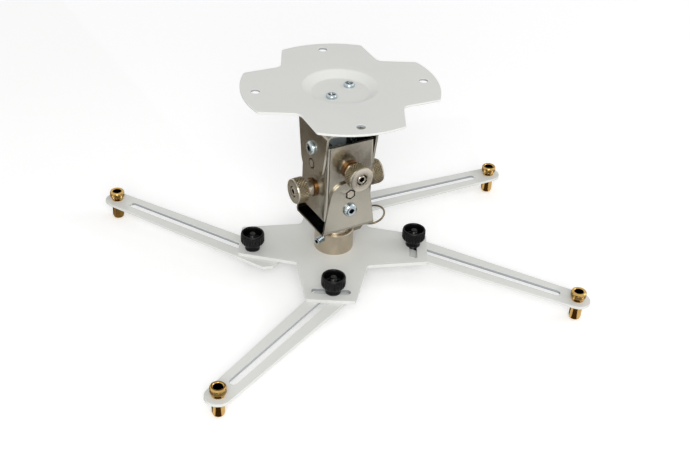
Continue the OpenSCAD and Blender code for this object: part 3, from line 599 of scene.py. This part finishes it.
def thumb_knob(node, along):
    """A round knob with a diamond knurl, and a broken ring groove in its face, painted black as shade."""
    length = length_of(node, along)
    lathe = Lathe(4 * DIAMONDS)
    pitch = 2 * math.pi * THUMB_R / DIAMONDS
    rows = 4 * round((length - 2.6) / pitch)
    rim = THUMB_R - 0.55
    low = 0.9
    top = low + rows * pitch / 4
    lathe.path((THUMB_BORE, 0), (rim - 0.7, 0), (rim, 0.7))
    lathe.band(THUMB_R, low, top, rows)
    lathe.path((rim, top + 0.2), (rim, length - 0.7), (rim - 0.25, length - 0.2), (rim - 0.8, length),
               (4.8, length))
    lathe.path((4.65, length - 0.1), (4.6, length - 1.6), (THUMB_BORE, length - 1.7), painted_shade=1.0)
    for i in range(BRIDGES):
        lathe.block((3.3, -0.45, length - 1.2), (4.75, 0.45, length - 0.06), 2 * math.pi * i / BRIDGES)
    piece = new_piece(node + "_turned", lathe.close(bored=True), KNURLED_NICKEL)
    run_tree(piece, RELIEF, Depth=0.7 * MM, Starts=float(DIAMONDS), Pitch=pitch * MM, Crossed=1.0,
             Ground=TURNED_NICKEL, Finish=KNURLED_NICKEL)
    smooth(piece, 20)
    stood(piece, node, along)
    settle(piece, body_of(node), "nickel", node)


thumb_knob("tilt_knob_front", (0, -1, 0))
thumb_knob("tilt_knob_back", (0, 1, 0))
thumb_knob("roll_knob_left", (-1, 0, 0))
thumb_knob("roll_knob_right", (1, 0, 0))


def adjusting_screw(node, along):
    """A threaded rod with a hexagon socket in each end."""
    r = 4.0
    thread = 1.25
    chamfer = 0.65
    plain = 2.0
    socket_half = 2.0
    socket_deep = 4.0
    length = length_of(node, along)
    lathe = Lathe(48)
    lathe.ring(0, socket_deep - 0.5, painted_shade=1.0)
    lathe.ring(socket_half, socket_deep, sides=6, painted_shade=1.0)
    lathe.ring(socket_half, 0.3, sides=6, painted_shade=1.0)
    lathe.path((socket_half * 1.2, 0), (r - chamfer, 0))
    lathe.path((r, chamfer), (r, plain - 0.2), painted_shade=1.0)
    lathe.band(r, plain, length - plain, round((length - 2 * plain) / thread * 4))
    lathe.path((r, length - plain + 0.2), (r, length - chamfer), painted_shade=1.0)
    lathe.path((r - chamfer, length), (socket_half * 1.2, length))
    lathe.ring(socket_half, length - 0.3, sides=6, painted_shade=1.0)
    lathe.ring(socket_half, length - socket_deep, sides=6, painted_shade=1.0)
    lathe.ring(0, length - socket_deep + 0.5, painted_shade=1.0)
    piece = new_piece(node + "_threaded", lathe.close(), ZINC)
    run_tree(piece, RELIEF, Depth=0.6 * MM, Starts=1.0, Pitch=thread * MM, Crossed=0.0, Ground=TURNED_NICKEL,
             Finish=ZINC)
    smooth(piece, 30)
    stood(piece, node, along)
    settle(piece, body_of(node), "zinc", node)


adjusting_screw("tilt_screw", (0, -1, 0))
adjusting_screw("roll_screw", (-1, 0, 0))


def set_screw():
    """The collar's set screw, with its hexagon socket outside."""
    axis = Vector(JOINTS["set_screw_turn"]["axis"])
    length = length_of("set_screw", axis)
    r = 3.0
    thread = 1.0
    socket_half = 1.5
    socket_deep = 3.5
    lathe = Lathe(48)
    lathe.path((0, 0), (r - 0.9, 0), (r - 0.6, 0.4))
    lathe.band(r, 0.8, length - 0.8, round((length - 1.6) / thread * 4))
    lathe.path((r - 0.5, length), (socket_half * 1.2, length))
    lathe.ring(socket_half, length - 0.2, sides=6, painted_shade=1.0)
    lathe.ring(socket_half, length - socket_deep, sides=6, painted_shade=1.0)
    lathe.ring(0, length - socket_deep + 0.5, painted_shade=1.0)
    piece = new_piece("set_screw_threaded", lathe.close(), ZINC)
    run_tree(piece, RELIEF, Depth=0.5 * MM, Starts=1.0, Pitch=thread * MM, Crossed=0.0, Ground=ZINC,
             Finish=ZINC)
    smooth(piece, 30)
    stood(piece, "set_screw", axis)
    settle(piece, body_of("set_screw"), "zinc", "set_screw")


set_screw()


# Spring plunger
dressed("plunger_body", DARK_NICKEL, "dark_nickel", edge=0.3)
dressed("plunger_pin", DARK_NICKEL, "dark_nickel", edge=0.15)


def pull_ring():
    """The wire ring leans as its CAD node does: its far side lies highest or lowest."""
    wire_r = 0.85
    eye = Vector(JOINTS["ring_swing"]["pos_m"])
    lo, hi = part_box("pull_ring")
    centre = (lo + hi) / 2
    away = centre - eye
    across = Vector(JOINTS["ring_swing"]["axis"])
    normal = across.cross(away).normalized()
    ring_r = span("pull_ring", across)[1] - centre.dot(across) - wire_r * MM
    piece = new_piece("pull_ring_wire", bpy.data.meshes.new("ring"), DARK_NICKEL)
    run_tree(piece, WIRE_RING, Radius=ring_r, Wire=wire_r * MM, Finish=DARK_NICKEL)
    turn = normal.to_track_quat("Z", "Y").to_matrix().to_4x4()
    piece.data.transform(Matrix.Translation(centre) @ turn)
    settle(piece, body_of("pull_ring"), "dark_nickel", "pull_ring")


pull_ring()


def clamp_bolt(i):
    """A round headed bolt with a square neck, which stands in the arm's slot."""
    node = f"clamp_bolt_{i}"
    length = length_of(node, UP)
    r = 3.0
    thread = 1.0
    head_r = 6.5
    head_h = 3.0
    neck_half = 6.3 / 2
    lathe = Lathe(48)
    lathe.path((0, 0), (head_r * 0.45, 0.1), (head_r * 0.75, 0.7), (head_r * 0.95, 1.7), (head_r, 2.3),
               (head_r, head_h))
    heading = Vector(JOINTS[f"arm_slide_{i}"]["axis"])
    twist = math.atan2(heading.y, heading.x)
    lathe.ring(neck_half, head_h, sides=4, twist=twist)
    lathe.ring(neck_half, head_h + 2.0, sides=4, twist=twist)
    lathe.path((r, head_h + 2.05))
    lathe.band(r, head_h + 2.4, length - 0.9, round((length - head_h - 3.3) / thread * 4))
    lathe.path((r - 0.6, length), (0, length))
    piece = new_piece(node + "_threaded", lathe.close(), BLACK_OXIDE)
    run_tree(piece, RELIEF, Depth=0.5 * MM, Starts=1.0, Pitch=thread * MM, Crossed=0.0, Ground=BLACK_OXIDE,
             Finish=BLACK_OXIDE)
    smooth(piece, 30)
    stood(piece, node, UP)
    settle(piece, body_of(node), "zinc", node)


# A relief's pitch, in metres, that is too long to lean: its ribs run straight along local Z
STRAIGHT = 1000.0


def clamp_knob(i):
    """A ribbed black knob with a cup, in which the bolt's end shows."""
    node = f"clamp_knob_{i}"
    height = length_of(node, UP)
    r = 10.0
    ribs = 24
    bore = 3.05
    lathe = Lathe(6 * ribs)
    lathe.path((bore, 0), (5.5, 0), (5.9, 0.35), (6.0, 2.4), (6.5, 3.1), (8.2, 4.9))
    for reach, z, relief in ((9.3, 5.6, 0.4), (r - 0.2, 6.3, 1.0), (r, 7.2, 1.0), (r, height - 2.2, 1.0),
                             (r, height - 1.7, 0.3)):
        lathe.ring(reach, z, relief)
    lathe.path((r - 0.1, height - 1.3), (r - 0.35, height - 0.5), (r - 0.9, height),
               (r - 1.5, height - 0.1), (r - 1.9, height - 0.6), (r - 2.1, height - 1.6),
               (r - 2.3, height - 7.2), (r - 3.1, height - 8.0), (bore + 1.4, height - 8.0),
               (bore + 1.3, height - 7.0), (bore, height - 6.9))
    piece = new_piece(node + "_moulded", lathe.close(bored=True), BLACK_NYLON)
    run_tree(piece, RELIEF, Depth=0.7 * MM, Starts=float(ribs), Pitch=STRAIGHT, Crossed=0.0,
             Ground=BLACK_NYLON, Finish=BLACK_NYLON)
    smooth(piece, 35)
    stood(piece, node, UP)
    settle(piece, body_of(node), "black_plastic", node)


def brass_head(i):
    """The upper half of a hollow brass screw: a knurled head on a collar, and a spigot in the arm."""
    node = f"brass_head_{i}"
    height = length_of(node, UP)
    r = 6.5
    diamonds = 30
    bore = 2.25
    recess = 3.7
    neck_z = height - 8.6
    low = neck_z + 3.0
    pitch = 2 * math.pi * r / diamonds
    rows = 4 * round(2.8 / pitch)
    foot = low + 0.75
    top = low + 0.75 + rows * pitch / 4
    lathe = Lathe(4 * diamonds)
    lathe.path((bore, 0), (3.7, 0), (4.0, 0.3), (4.0, neck_z), (4.9, neck_z), (5.0, neck_z + 0.1),
               (5.0, low - 0.5), (4.75, low - 0.3), (4.75, low), (5.7, low))
    lathe.ring(r - 0.35, low + 0.55)
    lathe.band(r, foot, top, rows)
    lathe.path((r - 0.35, top + 0.2), (r - 0.15, height - 1.1), (r - 0.45, height - 0.45),
               (r - 1.1, height), (recess + 0.7, height), (recess + 0.15, height - 0.5))
    lathe.path((recess, height - 1.2), (recess, height - 7.6), (bore, height - 7.6), painted_shade=0.9)
    piece = new_piece(node + "_knurled", lathe.close(bored=True), BRASS)
    run_tree(piece, RELIEF, Depth=0.45 * MM, Starts=float(diamonds), Pitch=pitch * MM, Crossed=1.0,
             Ground=BRASS, Finish=BRASS)
    smooth(piece, 24)
    stood(piece, node, UP)
    settle(piece, body_of(node), "brass", node)


for i in ARMS:
    clamp_bolt(i)
    clamp_knob(i)
    brass_head(i)
    dressed(f"brass_leg_{i}", BRASS, "brass", edge=0.2)


# Camera: place, direction, roll and focal length of the photograph, in its 690 pixel wide frame
CAMERA_AT = Vector((-417.5, -713.0, 412.3)) * MM
CAMERA_FORWARD = Vector((0.4291, 0.7142, -0.5529)).normalized()
CAMERA_ROLL = math.radians(3.0)
FOCAL_PX = 1163.0
FRAME_PX = 690.0

# Studio: a pale floor, two soft lamps, an even pale sky, and glowing cards that only the metals reflect, as
# painted reflections
FLOOR_HALF = 12.0
FLOOR_Z = cad_lo.z - 0.0002
CARD_Z = cad_lo.z + 0.0002
ARM_CARD_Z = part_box("arm_1")[1].z + 0.0003
# The floor's own light where it is seen, near the object and far from it, and the reach of each
FLOOR_LIFT = 0.20
FAR_LIFT = 0.42
LIFT_NEAR = 0.5
LIFT_FAR = 2.5
SKY_LIGHT = 0.60
# Name, place in metres, width in metres and power in watts
LAMPS = (("key", (-0.75, -1.4, 0.9), 1.1, 18.0), ("side", (1.6, -0.6, 0.9), 0.9, 4.0))
LEFT_GREY = "#968e82"
DARK_GREY = "#1c1917"
BACK_GREY = "#5f574c"
BRASS_FRONT = "#4a3826"
BRASS_LEFT = "#2a1f14"
# Bands round a brass screw: name, yaws in degrees from the line to the camera, reach from and to in metres,
# colour and height
BRASS_BANDS = (("brass", -42, 34, 0.005, 0.10, BRASS_FRONT, CARD_Z),
               ("brass_left", -170, -92, 0.005, 0.15, BRASS_LEFT, CARD_Z),
               ("neck", -40, 30, 0.0053, 0.02, BRASS_FRONT, ARM_CARD_Z),
               ("neck_left", -170, -92, 0.0053, 0.02, BRASS_LEFT, ARM_CARD_Z))
FAN_STEPS = 4


def seen_rays(tree):
    """1 for what the camera sees, straight, in a reflection or through glass, and 0 for light."""
    rays = add(tree, "ShaderNodeLightPath").outputs
    seen = add(tree, "ShaderNodeMath", {0: rays["Is Camera Ray"], 1: rays["Is Glossy Ray"]},
               operation="MAXIMUM").outputs[0]
    return add(tree, "ShaderNodeMath", {0: seen, 1: rays["Is Transmission Ray"]},
               operation="MAXIMUM").outputs[0]


def floor_paper():
    # White background paper: matt, lifted a little where it is seen, so that it stays white round the shadow
    material, tree, shader, place = finish_of("background_paper_white")
    shader.inputs["Base Color"].default_value = linear("#fbfbfb")
    shader.inputs["Roughness"].default_value = 0.9
    shader.inputs["Emission Color"].default_value = linear("#ffffff")
    reach = add(tree, "ShaderNodeVectorMath", {0: place}, operation="LENGTH").outputs["Value"]
    lift = add(tree, "ShaderNodeMapRange", {"Value": reach, "From Min": LIFT_NEAR, "From Max": LIFT_FAR,
                                            "To Min": FLOOR_LIFT, "To Max": FAR_LIFT}).outputs["Result"]
    seen = add(tree, "ShaderNodeMath", {0: seen_rays(tree), 1: lift}, operation="MULTIPLY").outputs[0]
    tree.links.new(seen, shader.inputs["Emission Strength"])
    return material


def reflection_glow(name, colour):
    # A sheet that glows in one colour and that only the metals' reflections see: a painted reflection
    material, _, shader, _ = finish_of(name)
    shader.inputs["Base Color"].default_value = linear("#000000")
    shader.inputs["Specular IOR Level"].default_value = 0.0
    shader.inputs["Emission Color"].default_value = linear(colour)
    shader.inputs["Emission Strength"].default_value = 1.0
    return material


def sheet(name, corners, finish):
    """A flat stage piece with those corners, in metres."""
    mesh = bpy.data.meshes.new(name)
    mesh.from_pydata(corners, [], [tuple(range(len(corners)))])
    made = new_piece(name, mesh, finish)
    return made


def card(name, corners, colour):
    """A stage sheet that only reflections see."""
    made = sheet(name, corners, reflection_glow(name, colour))
    made.visible_camera = False
    made.visible_diffuse = False
    made.visible_shadow = False


def polar(reach, yaw, z):
    return reach * math.cos(yaw), reach * math.sin(yaw), z


def fan_card(name, at, start, end, near, far, colour, z=CARD_Z):
    """A level card, a fan round a place from one yaw in degrees to another."""
    yaws = [math.radians(start + (end - start) * k / FAN_STEPS) for k in range(FAN_STEPS + 1)]
    rim = [polar(far, yaw, z) for yaw in yaws] + [polar(near, yaw, z) for yaw in reversed(yaws)]
    card(name, [(at[0] + x, at[1] + y, height) for x, y, height in rim], colour)


def floor():
    half, z = FLOOR_HALF, FLOOR_Z
    corners = [(-half, -half, z), (half, -half, z), (half, half, z), (-half, half, z)]
    sheet("floor", corners, floor_paper())


def head_cards():
    """Painted reflections: grey for the head's left faces, and a dark line for the rounded corner of its tube."""
    near, far = 0.03, 0.9
    rim = [(-near, near, CARD_Z), (-near, far, CARD_Z), (-far, far, CARD_Z), (-far, near, CARD_Z)]
    card("card_left", rim, LEFT_GREY)
    fan_card("card_front", (0, 0), -106, -80, 0.05, far, DARK_GREY)


def brass_cards(i):
    """Painted reflections: dark bands down the front and the left of a brass screw, on the floor and on the arm.
    """
    x, y = JOINTS[f"brass_turn_{i}"]["pos_m"][:2]
    toward = math.degrees(math.atan2(CAMERA_AT.y - y, CAMERA_AT.x - x))
    for name, start, end, near, far, colour, z in BRASS_BANDS:
        fan_card(f"card_{name}_{i}", (x, y), toward + start, toward + end, near, far, colour, z)


def back_card():
    """An upright grey card behind the object, whose painted reflection darkens the screws' and knobs' upper sides.
    """
    reach, low, high = 1.6, 0.6, 1.7
    start, end = math.radians(42), math.radians(76)
    rim = [polar(reach, start, low), polar(reach, end, low), polar(reach, end, high),
           polar(reach, start, high)]
    card("card_back", rim, BACK_GREY)


def sky():
    world = bpy.data.worlds.new("sky")
    bpy.context.scene.world = world
    world.use_nodes = True
    tree = world.node_tree
    tree.nodes.clear()
    strength = spread(tree, seen_rays(tree), SKY_LIGHT, 1.0)
    light = add(tree, "ShaderNodeBackground", {"Color": linear("#ffffff"), "Strength": strength})
    add(tree, "ShaderNodeOutputWorld", {"Surface": light.outputs[0]})


def lamp(name, at, size, power):
    """A round soft lamp that shines at the origin."""
    data = bpy.data.lights.new(name, "AREA")
    data.shape = "DISK"
    data.size = size
    data.energy = power
    light = bpy.data.objects.new(name, data)
    bpy.context.scene.collection.objects.link(light)
    light.location = at
    light.rotation_mode = "QUATERNION"
    light.rotation_quaternion = (-Vector(at)).to_track_quat("-Z", "Y")


floor()
head_cards()
for i in ARMS:
    brass_cards(i)
back_card()
sky()
for name, at, size, power in LAMPS:
    lamp(name, at, size, power)


def camera():
    level = CAMERA_FORWARD.cross(UP).normalized()
    upright = level.cross(CAMERA_FORWARD)
    right = level * math.cos(CAMERA_ROLL) + upright * math.sin(CAMERA_ROLL)
    up = upright * math.cos(CAMERA_ROLL) - level * math.sin(CAMERA_ROLL)
    data = bpy.data.cameras.new("camera")
    data.sensor_width = 36.0
    data.lens = FOCAL_PX * data.sensor_width / FRAME_PX
    data.clip_start = 0.01
    made = bpy.data.objects.new("camera", data)
    bpy.context.scene.collection.objects.link(made)
    turned = Matrix((right, up, -CAMERA_FORWARD)).transposed().to_4x4()
    made.matrix_world = Matrix.Translation(CAMERA_AT) @ turned
    bpy.context.scene.camera = made


camera()
bpy.context.scene.view_settings.view_transform = "Standard"
